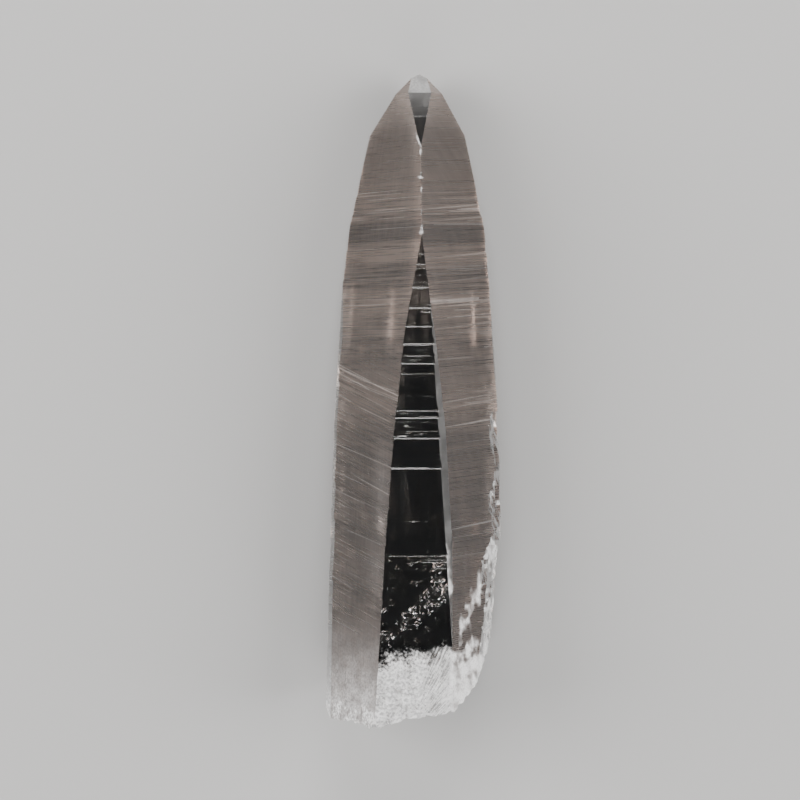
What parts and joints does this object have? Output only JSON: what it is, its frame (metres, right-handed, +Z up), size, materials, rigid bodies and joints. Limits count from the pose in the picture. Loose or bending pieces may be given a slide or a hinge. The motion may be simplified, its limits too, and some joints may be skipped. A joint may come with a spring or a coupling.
{
  "type": "quartz crystal point",
  "caption": "Tapered clear quartz crystal with striated faces, a blunt pointed tip and a broken base, lying on its broad back face.",
  "frame": {"origin": "under the middle of the crystal's box, on the surface that it lies on", "axes": "+Y along the crystal's long axis towards the tip, +Z up out of the narrow front face, +X to the right as seen from above with the tip away"},
  "size_m": [0.029, 0.1072, 0.0222],
  "materials": {
    "quartz": "clear, with striated satin flanks and a white broken base"
  },
  "bodies": {
    "root": {"crystal": "quartz"}
  },
  "joints": []
}
